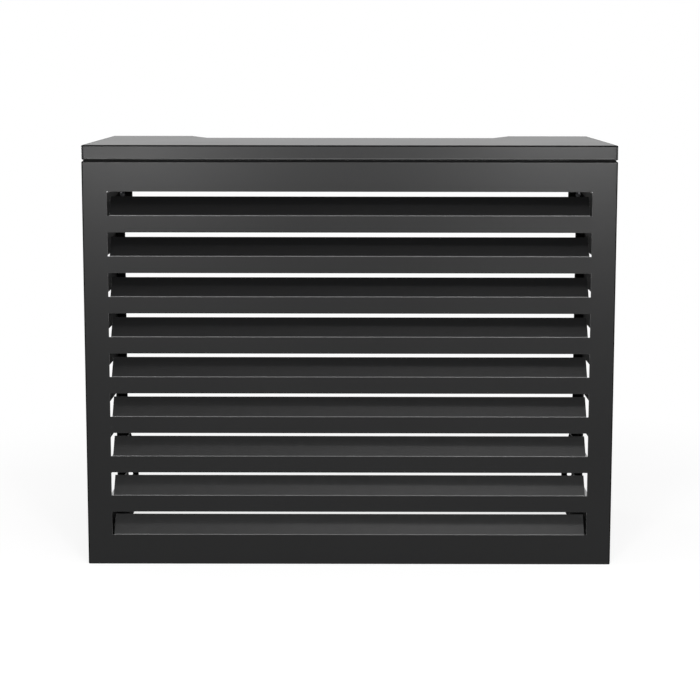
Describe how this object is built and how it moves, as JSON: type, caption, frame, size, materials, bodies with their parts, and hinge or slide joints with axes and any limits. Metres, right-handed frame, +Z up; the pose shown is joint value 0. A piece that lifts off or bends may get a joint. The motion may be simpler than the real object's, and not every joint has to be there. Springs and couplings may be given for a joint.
{
  "type": "air conditioner screen",
  "caption": "Free-standing louvred sheet-metal cover for an outdoor air conditioner unit, open at the back, with a lift-off lid cut out along its rear edge.",
  "frame": {"origin": "on the ground under the middle of the screen's outline", "axes": "+Z up, +X along the width, the louvred front faces -Y and the open back faces +Y"},
  "size_m": [1, 0.5, 0.8],
  "materials": {
    "powder_coat": "satin anthracite powder coat",
    "fastener_steel": "black zinc plated",
    "black_rubber": "matt"
  },
  "bodies": {
    "screen_body": {"front_panel": "powder_coat", "left_panel": "powder_coat", "right_panel": "powder_coat", "wall_bracket_left": "powder_coat", "wall_bracket_right": "powder_coat", "bracket_stud_left": "fastener_steel", "bracket_stud_right": "fastener_steel", "bracket_nut_left": "fastener_steel", "bracket_nut_right": "fastener_steel", "panel_bolt_left_1": "fastener_steel", "panel_bolt_left_2": "fastener_steel", "panel_bolt_left_3": "fastener_steel", "panel_bolt_left_4": "fastener_steel", "panel_bolt_right_1": "fastener_steel", "panel_bolt_right_2": "fastener_steel", "panel_bolt_right_3": "fastener_steel", "panel_bolt_right_4": "fastener_steel", "panel_nut_left_1": "fastener_steel", "panel_nut_left_2": "fastener_steel", "panel_nut_left_3": "fastener_steel", "panel_nut_left_4": "fastener_steel", "panel_nut_right_1": "fastener_steel", "panel_nut_right_2": "fastener_steel", "panel_nut_right_3": "fastener_steel", "panel_nut_right_4": "fastener_steel", "lid_pin_front_left": "fastener_steel", "lid_pin_front_right": "fastener_steel", "lid_pin_rear_left": "fastener_steel", "lid_pin_rear_right": "fastener_steel", "lid_pin_nut_front_left": "fastener_steel", "lid_pin_nut_front_right": "fastener_steel", "lid_pin_nut_rear_left": "fastener_steel", "lid_pin_nut_rear_right": "fastener_steel", "lid_strip_front": "black_rubber", "lid_strip_left": "black_rubber", "lid_strip_right": "black_rubber"},
    "lid_body": {"lid": "powder_coat"}
  },
  "joints": [
    {"name": "lid_lift", "type": "slide", "parent": "screen_body", "child": "lid_body", "axis": [0, 0, 1], "range_m": [0, 0.15]}
  ]
}
